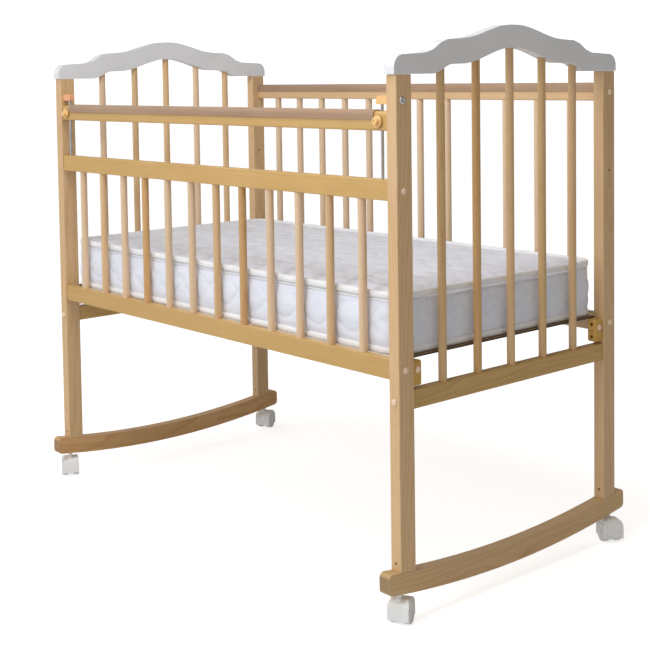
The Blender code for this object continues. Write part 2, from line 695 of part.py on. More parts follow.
def make_caster(tag, middle_x, middle_y, heading_deg):
    """Twin-wheel caster under an open-sided hood that trails towards heading_deg."""
    swivel = bpy.data.objects.new(f"caster_axis_{tag}", None)
    parts.objects.link(swivel)
    swivel.location = (middle_x, middle_y, 0)
    swivel.rotation_euler = (0, 0, math.radians(heading_deg))

    name = f"caster_hood_{tag}"
    hood = add_object(name, slab_mesh(name, hood_outline(), HOOD_WIDTH, ACROSS_X_UP_Z))
    hood.parent = swivel
    hood.location = (CASTER_TRAIL, 0, 0)
    across = rounded_box_outline(HOOD_WIDTH / 2, -HOOD_TOP, HOOD_TOP, HOOD_ROUND, HOOD_SHOULDER, 6)
    form_name = f"hood_form_{tag}"
    form_mesh = slab_mesh(form_name, across, HOOD_HALF * 4, ACROSS_Y_UP_Z)
    form = as_cutter(add_object(form_name, form_mesh, cutters))
    form.parent = swivel
    add_boolean(hood, form, "INTERSECT")

    root = WHEEL_RADIUS + AXLE_RADIUS * 4
    stem_top = rocker_edge(CASTER_Y, ROCKER_LOW) + STEM_DEPTH
    for label, radius, high in (("neck", NECK_RADIUS, NECK_TOP), ("stem", STEM_RADIUS, stem_top)):
        piece_name = f"{label}_{tag}"
        piece = add_object(piece_name, rod_mesh(piece_name, radius, high - root), cutters)
        piece.location = (0, 0, (root + high) / 2)
        piece.parent = swivel
        add_boolean(hood, as_cutter(piece), "UNION")

    reach = HOOD_WIDTH
    pocket_y = WEB_WIDTH / 2 + reach / 2
    pocket_radius = WHEEL_RADIUS + WHEEL_ROOM
    holes = [
        (pocket_radius, reach, (CASTER_TRAIL, facing * pocket_y, WHEEL_RADIUS), (0, 1, 0))
        for facing in (-1, 1)
    ]
    pockets = drill(f"wheel_pockets_{tag}", holes, WHEEL_SEGMENTS)
    pockets.parent = swivel
    add_boolean(hood, pockets)
    bore = (AXLE_RADIUS + FIT_GAP, WEB_WIDTH * 1.5, (CASTER_TRAIL, 0, WHEEL_RADIUS), (0, 1, 0))
    axle_bore = drill(f"axle_bore_{tag}", [bore])
    axle_bore.parent = swivel
    add_boolean(hood, axle_bore)
    finish(hood, CASTER_COLOUR, 0.35)

    name = f"caster_wheels_{tag}"
    wheels = add_object(name, turned_mesh(name, wheel_profile(), WHEEL_SEGMENTS))
    wheels.parent = swivel
    wheels.location = (CASTER_TRAIL, 0, WHEEL_RADIUS)
    wheels.rotation_euler = (math.radians(90.0), 0, 0)
    finish(wheels, CASTER_COLOUR, 0.45)


def make_bed():
    """Slatted base on four corner brackets, and the mattress."""
    bracket_high = BED_Z - BASE_THICK - FIT_GAP
    height = bracket_high - BRACKET_LOW
    for side, sign in (("left", -1), ("right", 1)):
        for row, facing in (("front", -1), ("rear", 1)):
            name = f"bracket_{row}_{side}"
            bracket = add_object(name, box_mesh(name, (BRACKET_X, BRACKET_Y, height)))
            centre_x = sign * (HALF_L - BRACKET_SETBACK - BRACKET_X / 2)
            centre_y = facing * (INNER_Y - FIT_GAP - BRACKET_Y / 2)
            bracket.location = (centre_x, centre_y, BRACKET_LOW + height / 2)
            add_bevel(bracket, BRACKET_ROUND, 3)
            through = BRACKET_Y * 2
            middle = BRACKET_LOW + height / 2
            apart = height * BRACKET_HOLE_SHARE
            holes = [
                (BRACKET_HOLE, through, (centre_x, centre_y, middle + step * apart), (0, 1, 0))
                for step in (-1, 1)
            ]
            add_boolean(bracket, drill(f"bracket_holes_{row}_{side}", holes))
            slot_name = f"bracket_slot_{row}_{side}"
            slot = as_cutter(add_object(slot_name, box_mesh(slot_name, BRACKET_SLOT), cutters))
            slot.location = (centre_x, centre_y - facing * BRACKET_Y / 2, middle)
            add_boolean(bracket, slot)
            finish(bracket, BRACKET_COLOUR, 0.4)

    name = "slatted_base"
    base = add_object(name, box_mesh(name, (BASE_LENGTH, BASE_WIDTH, BASE_THICK)))
    base.location = (0, 0, BED_Z - BASE_THICK / 2)
    field = BASE_LENGTH - 2 * BASE_RIM
    pitch = field / SLAT_SLOTS
    slot_mesh = bpy.data.meshes.new("slat_slots")
    slots = bmesh.new()
    for index in range(SLAT_SLOTS):
        along = (index - (SLAT_SLOTS - 1) / 2) * pitch
        made = bmesh.ops.create_cube(slots, size=1.0)
        slot_size = Vector((pitch * (1 - SLAT_SHARE), BASE_WIDTH - 2 * BASE_RIM, BASE_THICK * 3))
        bmesh.ops.scale(slots, vec=slot_size, verts=made["verts"])
        bmesh.ops.translate(slots, vec=(along, 0, BED_Z), verts=made["verts"])
    slots.to_mesh(slot_mesh)
    slots.free()
    add_boolean(base, as_cutter(add_object("slat_slots", slot_mesh, cutters)))
    finish(base, PLY_COLOUR, 0.6)

    name = "mattress"
    half_y = MATTRESS_WIDTH / 2
    plan = rounded_box_outline(
        MATTRESS_LENGTH / 2, -half_y, half_y, MATTRESS_CORNER, MATTRESS_CORNER, 6
    )
    mattress = add_object(name, slab_mesh(name, plan, MATTRESS_THICK, FLAT))
    mattress.location = (0, 0, BED_Z + FIT_GAP + MATTRESS_THICK / 2)
    add_bevel(mattress, MATTRESS_EDGE, 3)
    finish(mattress, TICKING_COLOUR, 0.9)


for end_side, end_sign in (("left", -1), ("right", 1)):
    make_end_panel(end_side, end_sign)
make_front_grille()
make_rear_side()
make_drop_rail()
make_bed()
for caster_tag, caster_sign, caster_facing, heading in (
    ("front_right", 1, -1, 119), ("rear_right", 1, 1, -28),
    ("front_left", -1, -1, 152), ("rear_left", -1, 1, 118),
):
    make_caster(caster_tag, caster_sign * POST_MID_X, caster_facing * CASTER_Y, heading)
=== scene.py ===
"""Looks of the rocking baby crib: lacquered birch, painted end rails, mattress, fittings."""

import json
import math
import random

import bmesh
import bpy
import numpy as np
from mathutils import Matrix, Vector

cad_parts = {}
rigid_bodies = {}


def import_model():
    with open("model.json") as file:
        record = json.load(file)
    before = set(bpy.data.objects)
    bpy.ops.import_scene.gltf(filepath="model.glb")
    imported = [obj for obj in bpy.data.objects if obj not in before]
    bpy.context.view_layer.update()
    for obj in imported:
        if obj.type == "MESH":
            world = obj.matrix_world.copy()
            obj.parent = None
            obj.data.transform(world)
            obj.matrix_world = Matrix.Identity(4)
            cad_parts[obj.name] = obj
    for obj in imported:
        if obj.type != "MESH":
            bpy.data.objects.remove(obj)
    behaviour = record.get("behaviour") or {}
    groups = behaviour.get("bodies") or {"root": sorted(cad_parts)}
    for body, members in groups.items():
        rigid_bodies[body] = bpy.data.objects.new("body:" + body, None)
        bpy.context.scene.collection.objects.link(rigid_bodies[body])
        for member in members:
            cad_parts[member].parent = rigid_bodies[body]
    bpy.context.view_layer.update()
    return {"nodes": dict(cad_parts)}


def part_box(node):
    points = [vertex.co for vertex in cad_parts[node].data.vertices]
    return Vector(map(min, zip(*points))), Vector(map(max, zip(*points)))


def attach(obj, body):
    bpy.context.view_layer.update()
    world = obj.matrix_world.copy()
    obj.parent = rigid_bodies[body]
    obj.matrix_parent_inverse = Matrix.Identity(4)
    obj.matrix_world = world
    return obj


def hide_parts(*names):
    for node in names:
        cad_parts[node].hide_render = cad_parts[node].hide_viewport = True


for leftover in list(bpy.data.objects):
    bpy.data.objects.remove(leftover)
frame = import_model()
nodes = frame["nodes"]

MM = 0.001
SCENE = bpy.context.scene


def centre_of(node):
    """Middle of a CAD node's box at rest."""
    low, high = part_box(node)
    return (low + high) / 2


# ---------------------------------------------------------------- node helpers

def link(tree, source, target):
    tree.links.new(source, target)


def add_node(tree, kind, **settings):
    node = tree.nodes.new(kind)
    for key, value in settings.items():
        setattr(node, key, value)
    return node


def put(tree, socket, value):
    """Sets a socket to a value, or links it to another node's output."""
    if isinstance(value, bpy.types.NodeSocket):
        link(tree, value, socket)
    elif value is not None:
        socket.default_value = value


def maths(tree, operation, first, second=None):
    """One sum; each side is a number or another node's output."""
    node = add_node(tree, "ShaderNodeMath", operation=operation)
    put(tree, node.inputs[0], first)
    put(tree, node.inputs[1], second)
    return node.outputs[0]


def remap(tree, value, low, high, to_low=0.0, to_high=1.0):
    """Stretches low..high to to_low..to_high and clamps there."""
    node = add_node(tree, "ShaderNodeMapRange")
    for key, number in (("From Min", low), ("From Max", high), ("To Min", to_low), ("To Max", to_high)):
        node.inputs[key].default_value = number
    link(tree, value, node.inputs["Value"])
    return node.outputs["Result"]


def mapping(tree, vector, scale=(1, 1, 1), move=(0, 0, 0), turn=(0, 0, 0)):
    node = add_node(tree, "ShaderNodeMapping")
    node.inputs["Scale"].default_value = scale
    node.inputs["Location"].default_value = move
    node.inputs["Rotation"].default_value = turn
    link(tree, vector, node.inputs["Vector"])
    return node.outputs["Vector"]


def noise(tree, vector, scale, detail=2.0, roughness=0.5, distortion=0.0):
    node = add_node(tree, "ShaderNodeTexNoise")
    node.inputs["Scale"].default_value = scale
    node.inputs["Detail"].default_value = detail
    node.inputs["Roughness"].default_value = roughness
    node.inputs["Distortion"].default_value = distortion
    link(tree, vector, node.inputs["Vector"])
    return node.outputs["Fac"]


def blend_colours(tree, share, first, second):
    """The first colour, going over to the second as the share rises."""
    node = add_node(tree, "ShaderNodeMix", data_type="RGBA")
    put(tree, node.inputs[0], share)
    for socket, colour in ((node.inputs[6], first), (node.inputs[7], second)):
        put(tree, socket, (*colour, 1.0) if isinstance(colour, tuple) else colour)
    return node.outputs[2]


def bump(tree, height, strength, distance, normal=None):
    node = add_node(tree, "ShaderNodeBump")
    node.inputs["Strength"].default_value = strength
    node.inputs["Distance"].default_value = distance
    link(tree, height, node.inputs["Height"])
    put(tree, node.inputs["Normal"], normal)
    return node.outputs["Normal"]


def new_group(name, inputs, outputs):
    """An empty shader node group with its sockets; returns it with its inner ends."""
    group = bpy.data.node_groups.new(name, "ShaderNodeTree")
    for label, kind, value in inputs:
        socket = group.interface.new_socket(label, in_out="INPUT", socket_type=kind)
        if value is not None:
            socket.default_value = value
    for label, kind in outputs:
        group.interface.new_socket(label, in_out="OUTPUT", socket_type=kind)
    start = group.nodes.new("NodeGroupInput")
    end = group.nodes.new("NodeGroupOutput")
    return group, start, end


def use_group(tree, group, **values):
    """Puts a shared effect in a material."""
    node = add_node(tree, "ShaderNodeGroup", node_tree=group)
    for label, value in values.items():
        put(tree, node.inputs[label], value)
    return node


def new_material(name, **shader):
    """A material with its Principled shader; plain values go straight on its sockets."""
    material = bpy.data.materials.new(name)
    material.use_nodes = True
    tree = material.node_tree
    principled = tree.nodes["Principled BSDF"]
    for label, value in shader.items():
        socket = principled.inputs[label.replace("_", " ")]
        socket.default_value = (*value, 1.0) if isinstance(value, tuple) else value
    place = add_node(tree, "ShaderNodeTexCoord").outputs["Object"]
    return material, tree, principled, place


# --------------------------------------------------------------- shared effects

def make_wood_grain():
    """Streaks, flecks and fibre height of wood whose grain runs along Z."""
    group, start, end = new_group(
        "wood_grain",
        [("Vector", "NodeSocketVector", None), ("Ring Pitch", "NodeSocketFloat", 4.0)],
        [("Streak", "NodeSocketFloat"), ("Fleck", "NodeSocketFloat"), ("Height", "NodeSocketFloat")],
    )
    vector = start.outputs["Vector"]
    wander = noise(group, mapping(group, vector, (9, 9, 2.2)), 1.0, 3.0)
    shift = add_node(group, "ShaderNodeCombineXYZ")
    sway = maths(group, "MULTIPLY", maths(group, "SUBTRACT", wander, 0.5), 0.022)
    link(group, sway, shift.inputs["X"])
    bent = add_node(group, "ShaderNodeVectorMath", operation="ADD")
    link(group, vector, bent.inputs[0])
    link(group, shift.outputs[0], bent.inputs[1])

    reach = add_node(group, "ShaderNodeVectorMath", operation="LENGTH")
    link(group, mapping(group, bent.outputs[0], (1, 1, 0)), reach.inputs[0])
    turns = maths(group, "DIVIDE", maths(group, "MULTIPLY", reach.outputs["Value"], 1000.0),
                  start.outputs["Ring Pitch"])
    ring = maths(group, "FRACT", turns)
    late = maths(group, "POWER", ring, 3.0)

    bands = noise(group, mapping(group, bent.outputs[0], (190, 190, 5)), 1.0, 3.0, 0.6)
    fibres = noise(group, mapping(group, bent.outputs[0], (1500, 1500, 26)), 1.0, 2.0, 0.6)
    cloud = noise(group, mapping(group, vector, (22, 22, 7)), 1.0, 2.0)
    streak = maths(group, "MULTIPLY", late, 0.34)
    streak = maths(group, "ADD", streak, maths(group, "MULTIPLY", bands, 0.42))
    streak = maths(group, "ADD", streak, maths(group, "MULTIPLY", fibres, 0.26))
    streak = maths(group, "ADD", streak, maths(group, "MULTIPLY", cloud, 0.34))
    link(group, remap(group, streak, 0.32, 0.92), end.inputs["Streak"])

    dashes = noise(group, mapping(group, bent.outputs[0], (900, 900, 150)), 1.0, 1.0)
    link(group, remap(group, dashes, 0.66, 0.74), end.inputs["Fleck"])
    grooves = maths(group, "MULTIPLY", maths(group, "ADD", fibres, bands), 0.5)
    link(group, grooves, end.inputs["Height"])
    return group


def make_soft_edges():
    """Rounded normals and an edge mask for hard pieces, used for worn edges and, on the white paint, for
    a painted edge highlight as well.
    """
    group, start, end = new_group(
        "soft_edges",
        [("Radius", "NodeSocketFloat", 0.001), ("Vector", "NodeSocketVector", None)],
        [("Edge", "NodeSocketFloat"), ("Normal", "NodeSocketVector")],
    )
    bevel = add_node(group, "ShaderNodeBevel", samples=4)
    link(group, start.outputs["Radius"], bevel.inputs["Radius"])
    flat = add_node(group, "ShaderNodeNewGeometry").outputs["Normal"]
    agree = add_node(group, "ShaderNodeVectorMath", operation="DOT_PRODUCT")
    link(group, bevel.outputs["Normal"], agree.inputs[0])
    link(group, flat, agree.inputs[1])
    edge = remap(group, agree.outputs["Value"], 0.985, 0.80)
    patches = noise(group, mapping(group, start.outputs["Vector"], (60, 60, 60)), 1.0, 3.0)
    link(group, maths(group, "MULTIPLY", edge, remap(group, patches, 0.3, 0.65)), end.inputs["Edge"])
    link(group, bevel.outputs["Normal"], end.inputs["Normal"])
    return group


def make_dust():
    """Faint settled dust and handling marks, stronger on faces that look up."""
    group, start, end = new_group(
        "dust",
        [("Vector", "NodeSocketVector", None)],
        [("Dust", "NodeSocketFloat"), ("Smudge", "NodeSocketFloat")],
    )
    up = add_node(group, "ShaderNodeSeparateXYZ")
    link(group, add_node(group, "ShaderNodeNewGeometry").outputs["Normal"], up.inputs[0])
    facing = remap(group, up.outputs["Z"], 0.3, 1.0)
    specks = noise(group, mapping(group, start.outputs["Vector"], (260, 260, 260)), 1.0, 4.0, 0.7)
    link(group, maths(group, "MULTIPLY", facing, remap(group, specks, 0.45, 0.8)), end.inputs["Dust"])
    marks = noise(group, mapping(group, start.outputs["Vector"], (14, 14, 14)), 1.0, 4.0, 0.62, 0.6)
    link(group, remap(group, marks, 0.4, 0.7), end.inputs["Smudge"])
    return group


GRAIN = make_wood_grain()
EDGES = make_soft_edges()
DUST = make_dust()


# ------------------------------------------------------------------- finishes

ALONG = {
    "z": (0.0, 0.0, 0.0),
    "x": (0.0, math.radians(-90.0), 0.0),
    "y": (math.radians(90.0), 0.0, 0.0),
}
TONES = {
    # The whiter "light" tone is partly a painted highlight: the lacquer's sheen on the round bars is
    # painted into its colour.
    "light": ((0.79, 0.60, 0.42), (0.69, 0.48, 0.29)),
    "pale": ((0.76, 0.53, 0.31), (0.63, 0.395, 0.185)),
    "golden": ((0.73, 0.505, 0.265), (0.59, 0.365, 0.155)),
    "rail": ((0.66, 0.43, 0.165), (0.51, 0.30, 0.09)),
    "orange": ((0.69, 0.43, 0.20), (0.52, 0.28, 0.10)),
}


def lacquered_birch(name, node, along, tone, seed):
    """Satin lacquered birch with the grain along one axis of the piece."""
    draw = random.Random(seed)
    material, tree, principled, place = new_material(
        name, Coat_Weight=0.12, Coat_Roughness=0.2, Specular_IOR_Level=0.4)
    lean = math.radians(draw.uniform(-1.6, 1.6))
    tilt = Vector((lean if along != "y" else 0.0, lean if along == "z" else 0.0, lean))
    turn = Vector(ALONG[along]) + tilt
    turned = Matrix.Rotation(turn.z, 4, "Z")
    turned = turned @ Matrix.Rotation(turn.y, 4, "Y") @ Matrix.Rotation(turn.x, 4, "X")
    heart = Vector((draw.uniform(0.03, 0.10), draw.uniform(-0.05, 0.05), draw.uniform(-3.0, 3.0)))
    move = heart - turned @ centre_of(node)
    vector = mapping(tree, place, (1, 1, 1), move, turn)
    grain = use_group(tree, GRAIN, Vector=vector)
    grain.inputs["Ring Pitch"].default_value = draw.uniform(3.4, 5.6)
    edges = use_group(tree, EDGES, Vector=place, Radius=1.1 * MM)
    dust = use_group(tree, DUST, Vector=place)
    light, dark = TONES[tone]
    shade = draw.uniform(0.93, 1.05)
    light = tuple(shade * channel for channel in light)
    dark = tuple(shade * channel for channel in dark)
    colour = blend_colours(tree, grain.outputs["Streak"], light, dark)
    fleck = maths(tree, "MULTIPLY", grain.outputs["Fleck"], 0.42)
    colour = blend_colours(tree, fleck, colour, tuple(0.62 * channel for channel in dark))
    across = add_node(tree, "ShaderNodeVectorMath", operation="DOT_PRODUCT")
    link(tree, add_node(tree, "ShaderNodeNewGeometry").outputs["Normal"], across.inputs[0])
    across.inputs[1].default_value = [float(letter == along) for letter in "xyz"]
    end_grain = remap(tree, maths(tree, "ABSOLUTE", across.outputs["Value"]), 0.8, 0.97)
    colour = blend_colours(tree, maths(tree, "MULTIPLY", end_grain, 0.75), colour,
                           tuple(0.36 * channel for channel in light))
    edge = maths(tree, "MULTIPLY", edges.outputs["Edge"], 0.35)
    colour = blend_colours(tree, edge, colour, (0.80, 0.60, 0.36))
    grime = maths(tree, "MULTIPLY", dust.outputs["Smudge"], 0.10)
    colour = blend_colours(tree, grime, colour, dark)
    link(tree, colour, principled.inputs["Base Color"])
    rough = maths(tree, "ADD", maths(tree, "MULTIPLY", grain.outputs["Streak"], 0.12), 0.33)
    rough = maths(tree, "ADD", rough, maths(tree, "MULTIPLY", dust.outputs["Smudge"], 0.08))
    link(tree, rough, principled.inputs["Roughness"])
    relief = bump(tree, grain.outputs["Height"], 0.22, 0.35 * MM, edges.outputs["Normal"])
    link(tree, relief, principled.inputs["Normal"])
    return material


def white_paint():
    """Brushed white semi-gloss paint over curved wooden rails."""
    material, tree, principled, place = new_material(
        "white_paint", Coat_Weight=0.25, Coat_Roughness=0.18)
    edges = use_group(tree, EDGES, Vector=place, Radius=1.6 * MM)
    dust = use_group(tree, DUST, Vector=place)
    brush = noise(tree, mapping(tree, place, (420, 16, 300)), 1.0, 3.0)
    cloud = noise(tree, mapping(tree, place, (7, 7, 7)), 1.0, 2.0)
    colour = blend_colours(tree, remap(tree, cloud, 0.3, 0.7), (0.83, 0.84, 0.87), (0.77, 0.78, 0.81))
    colour = blend_colours(tree, maths(tree, "MULTIPLY", brush, 0.10), colour, (0.70, 0.70, 0.72))
    # The edges are painted whiter: rubbed paint, and a painted highlight along the rounded edges.
    worn_edge_highlight = maths(tree, "MULTIPLY", edges.outputs["Edge"], 0.45)
    colour = blend_colours(tree, worn_edge_highlight, colour, (0.92, 0.92, 0.92))
    dusty = maths(tree, "MULTIPLY", dust.outputs["Dust"], 0.12)
    colour = blend_colours(tree, dusty, colour, (0.62, 0.60, 0.56))
    link(tree, colour, principled.inputs["Base Color"])
    rough = maths(tree, "ADD", maths(tree, "MULTIPLY", dust.outputs["Smudge"], 0.12), 0.30)
    link(tree, rough, principled.inputs["Roughness"])
    peel = noise(tree, mapping(tree, place, (700, 700, 700)), 1.0, 2.0)
    height = maths(tree, "ADD", maths(tree, "MULTIPLY", brush, 0.7), maths(tree, "MULTIPLY", peel, 0.3))
    link(tree, bump(tree, height, 0.18, 0.3 * MM, edges.outputs["Normal"]), principled.inputs["Normal"])
    return material


def moulded(name, light, dark, roughness=0.34, grit=0.10, **shader):
    """Moulded plastic with faint flow marks, fine texture and handled edges."""
    material, tree, principled, place = new_material(name, **shader)
    edges = use_group(tree, EDGES, Vector=place, Radius=0.9 * MM)
    dust = use_group(tree, DUST, Vector=place)
    flow = noise(tree, mapping(tree, place, (55, 90, 70)), 1.0, 3.0, 0.55, 0.8)
    colour = blend_colours(tree, remap(tree, flow, 0.3, 0.72), light, dark)
    pale = tuple(min(1.0, 1.15 * channel + 0.03) for channel in light)
    colour = blend_colours(tree, maths(tree, "MULTIPLY", edges.outputs["Edge"], 0.5), colour, pale)
    dusty = maths(tree, "MULTIPLY", dust.outputs["Dust"], 0.2)
    colour = blend_colours(tree, dusty, colour, (0.60, 0.56, 0.50))
    link(tree, colour, principled.inputs["Base Color"])
    rough = maths(tree, "ADD", maths(tree, "MULTIPLY", dust.outputs["Smudge"], 0.14), roughness)
    link(tree, rough, principled.inputs["Roughness"])
    grain = noise(tree, mapping(tree, place, (1900, 1900, 1900)), 1.0, 2.0)
    link(tree, bump(tree, grain, grit, 0.2 * MM, edges.outputs["Normal"]), principled.inputs["Normal"])
    return material


def vinyl_strip():
    """Soft taupe vinyl drawn through a die: fine lines along X and a leathery skin."""
    material, tree, principled, place = new_material(
        "vinyl_strip", Sheen_Weight=0.15, Sheen_Roughness=0.5, Specular_IOR_Level=0.45)
    dust = use_group(tree, DUST, Vector=place)
    lines = noise(tree, mapping(tree, place, (4, 900, 900)), 1.0, 2.0)
    skin = noise(tree, mapping(tree, place, (800, 1100, 1100)), 1.0, 3.0)
    cloud = noise(tree, mapping(tree, place, (5, 40, 40)), 1.0, 3.0)
    patches = remap(tree, cloud, 0.3, 0.7)
    colour = blend_colours(tree, patches, (0.43, 0.275, 0.175), (0.335, 0.205, 0.125))
    colour = blend_colours(tree, maths(tree, "MULTIPLY", lines, 0.3), colour, (0.28, 0.16, 0.09))
    dusty = maths(tree, "MULTIPLY", dust.outputs["Dust"], 0.35)
    colour = blend_colours(tree, dusty, colour, (0.62, 0.52, 0.46))
    link(tree, colour, principled.inputs["Base Color"])
    rough = maths(tree, "ADD", maths(tree, "MULTIPLY", dust.outputs["Smudge"], 0.15), 0.38)
    link(tree, rough, principled.inputs["Roughness"])
    height = maths(tree, "ADD", maths(tree, "MULTIPLY", lines, 0.6), maths(tree, "MULTIPLY", skin, 0.4))
    link(tree, bump(tree, height, 0.25, 0.3 * MM), principled.inputs["Normal"])
    return material


def drawn_steel(name, light, dark, roughness=0.22):
    """Plated steel with fine draw lines along Z and dull patches."""
    material, tree, principled, place = new_material(name, Metallic=1.0)
    edges = use_group(tree, EDGES, Vector=place, Radius=0.5 * MM)
    lines = noise(tree, mapping(tree, place, (2600, 2600, 14)), 1.0, 2.0)
    dull = noise(tree, mapping(tree, place, (90, 90, 40)), 1.0, 4.0, 0.6)
    colour = blend_colours(tree, remap(tree, dull, 0.35, 0.7), light, dark)
    link(tree, colour, principled.inputs["Base Color"])
    rough = maths(tree, "ADD", maths(tree, "MULTIPLY", dull, 0.22), roughness - 0.08)
    link(tree, rough, principled.inputs["Roughness"])
    link(tree, bump(tree, lines, 0.12, 0.1 * MM, edges.outputs["Normal"]), principled.inputs["Normal"])
    return material


def layered_board():
    """Thin board: faint grain along X on the faces, and near-black edges that are painted shade."""
    material, tree, principled, place = new_material("layered_board", Specular_IOR_Level=0.3)
    grain = use_group(tree, GRAIN, Vector=mapping(tree, place, (1, 1, 1), (0.4, 0.05, 0.09), ALONG["x"]))
    grain.inputs["Ring Pitch"].default_value = 7.0
    colour = blend_colours(tree, grain.outputs["Streak"], (0.30, 0.20, 0.115), (0.20, 0.125, 0.065))
    # Faces that look sideways go near-black: painted shade for the board's edge, which sits in shadow
    # under the mattress.
    facing = add_node(tree, "ShaderNodeSeparateXYZ")
    link(tree, add_node(tree, "ShaderNodeNewGeometry").outputs["Normal"], facing.inputs[0])
    side = maths(tree, "SUBTRACT", 1.0, maths(tree, "ABSOLUTE", facing.outputs["Z"]))
    colour = blend_colours(tree, maths(tree, "MULTIPLY", side, 0.8), colour, (0.045, 0.032, 0.022))
    link(tree, colour, principled.inputs["Base Color"])
    rough = maths(tree, "ADD", maths(tree, "MULTIPLY", grain.outputs["Streak"], 0.2), 0.6)
    link(tree, rough, principled.inputs["Roughness"])
    link(tree, bump(tree, grain.outputs["Height"], 0.35, 0.5 * MM), principled.inputs["Normal"])
    return material


def make_weave():
    """Fine woven ticking on Object coordinates: close ribs with soft damask figures."""
    group, start, end = new_group(
        "weave",
        [("Vector", "NodeSocketVector", None)],
        [("Thread", "NodeSocketFloat"), ("Figure", "NodeSocketFloat"), ("Height", "NodeSocketFloat")],
    )
    split = add_node(group, "ShaderNodeSeparateXYZ")
    link(group, start.outputs["Vector"], split.inputs[0])
    along = maths(group, "ADD", split.outputs["X"], split.outputs["Z"])
    across = maths(group, "ADD", split.outputs["Y"], split.outputs["Z"])
    thread_pitch = 0.9 * MM
    turns = 2 * math.pi / thread_pitch
    warp = maths(group, "SINE", maths(group, "MULTIPLY", along, turns))
    weft = maths(group, "SINE", maths(group, "MULTIPLY", across, turns))
    over = maths(group, "MULTIPLY", warp, weft)
    thread = remap(group, over, -1.0, 1.0)
    link(group, thread, end.inputs["Thread"])
    wave = noise(group, mapping(group, start.outputs["Vector"], (9, 34, 34)), 1.0, 3.0, 0.5, 1.2)
    figure = remap(group, wave, 0.42, 0.60)
    link(group, figure, end.inputs["Figure"])
    fuzz = noise(group, mapping(group, start.outputs["Vector"], (500, 500, 500)), 1.0, 2.0)
    height = maths(group, "MULTIPLY", thread, 0.35)
    height = maths(group, "ADD", height, maths(group, "MULTIPLY", fuzz, 0.4))
    link(group, maths(group, "ADD", height, maths(group, "MULTIPLY", figure, 0.5)), end.inputs["Height"])
    return group


WEAVE = make_weave()


def ticking(name, light, dark, strength=0.35):
    """Off-white mattress ticking."""
    material, tree, principled, place = new_material(
        name, Sheen_Weight=0.25, Sheen_Roughness=0.45, Specular_IOR_Level=0.25)
    weave = use_group(tree, WEAVE, Vector=place)
    colour = blend_colours(tree, weave.outputs["Figure"], light, dark)
    colour = blend_colours(tree, maths(tree, "MULTIPLY", weave.outputs["Thread"], 0.10), colour,
                           tuple(0.80 * channel for channel in dark))
    link(tree, colour, principled.inputs["Base Color"])
    rough = maths(tree, "ADD", maths(tree, "MULTIPLY", weave.outputs["Figure"], 0.16), 0.62)
    link(tree, rough, principled.inputs["Roughness"])
    link(tree, bump(tree, weave.outputs["Height"], strength, 0.5 * MM), principled.inputs["Normal"])
    return material


def dress(node, material):
    """Gives a CAD node its finish."""
    for slot in nodes[node].material_slots:
        slot.material = material


def dress_wood():
    """Each wooden piece is cut from its own board, so each gets its own tone and figure; the "light"
    tone also holds a painted highlight.
    """
    plan = []
    for row in ("front", "rear"):
        for side in ("left", "right"):
            plan.append((f"post_{row}_{side}", "z", "pale"))
    for side in ("left", "right"):
        plan.append((f"end_rail_{side}", "y", "rail"))
        plan.append((f"rocker_{side}", "y", "golden" if side == "right" else "orange"))
    tones = {"right": "golden orange pale golden pale", "left": "light pale pale light pale"}
    for side, words in tones.items():
        for index, tone in enumerate(words.split(), 1):
            plan.append((f"spindle_{side}_{index}", "z", tone))
    plan.append(("middle_rail_front", "x", "rail"))
    plan.append(("bottom_rail_front", "x", "rail"))
    plan.append(("drop_rail", "x", "rail"))
    plan.append(("top_rail_rear", "x", "pale"))
    plan.append(("grille_rear", "z", "light"))
    # Most bars take the "light" tone, with its painted highlight.
    words = "light pale light orange light light pale orange light light pale light"
    for index, tone in enumerate(words.split(), 1):
        plan.append((f"bar_front_{index:02d}", "z", tone))
    for seed, (node, along, tone) in enumerate(plan, 1):
        dress(node, lacquered_birch(f"birch_{node}", node, along, tone, seed))


dress_wood()
PAINT = white_paint()
VINYL = vinyl_strip()
AMBER = moulded("amber_plastic", (0.93, 0.60, 0.26), (0.86, 0.50, 0.19), 0.30,
                Subsurface_Weight=0.12, Subsurface_Scale=0.004, Coat_Weight=0.15)
PEACH = moulded("peach_plastic", (0.90, 0.48, 0.24), (0.84, 0.40, 0.18), 0.30,
                Subsurface_Weight=0.12, Subsurface_Scale=0.004, Coat_Weight=0.15)
OCHRE = moulded("ochre_plastic", (0.66, 0.40, 0.085), (0.56, 0.32, 0.06), 0.36)
CAP_BEIGE = moulded("cap_plastic", (0.92, 0.70, 0.52), (0.86, 0.63, 0.45), 0.26, Coat_Weight=0.3)
CASTER_WHITE = moulded("caster_white", (0.94, 0.95, 0.96), (0.89, 0.90, 0.91), 0.24, Coat_Weight=0.3)
CASTER_WHEEL = moulded("caster_wheel", (0.92, 0.93, 0.94), (0.82, 0.83, 0.84), 0.40, 0.2)
STEEL = drawn_steel("plated_steel", (0.66, 0.69, 0.74), (0.50, 0.53, 0.58))
CHROME = drawn_steel("screw_chrome", (0.78, 0.78, 0.78), (0.62, 0.62, 0.62), 0.16)
BOARD = layered_board()
TICKING_TOP = ticking("ticking_top", (0.87, 0.89, 0.98), (0.79, 0.81, 0.91))
# The border's ticking is bluer than the top's: partly the fabric's own cool white, partly a painted cool
# cast that offsets the warm light from the surround.
TICKING_SIDE_COOL_CAST = ticking("ticking_side_cool_cast", (0.84, 0.88, 0.99), (0.79, 0.83, 0.95))
THREAD = ticking("stitch_thread", (0.86, 0.87, 0.90), (0.78, 0.79, 0.83), 0.15)
TAPE = ticking("binding_tape", (0.93, 0.94, 0.97), (0.88, 0.89, 0.93), 0.25)

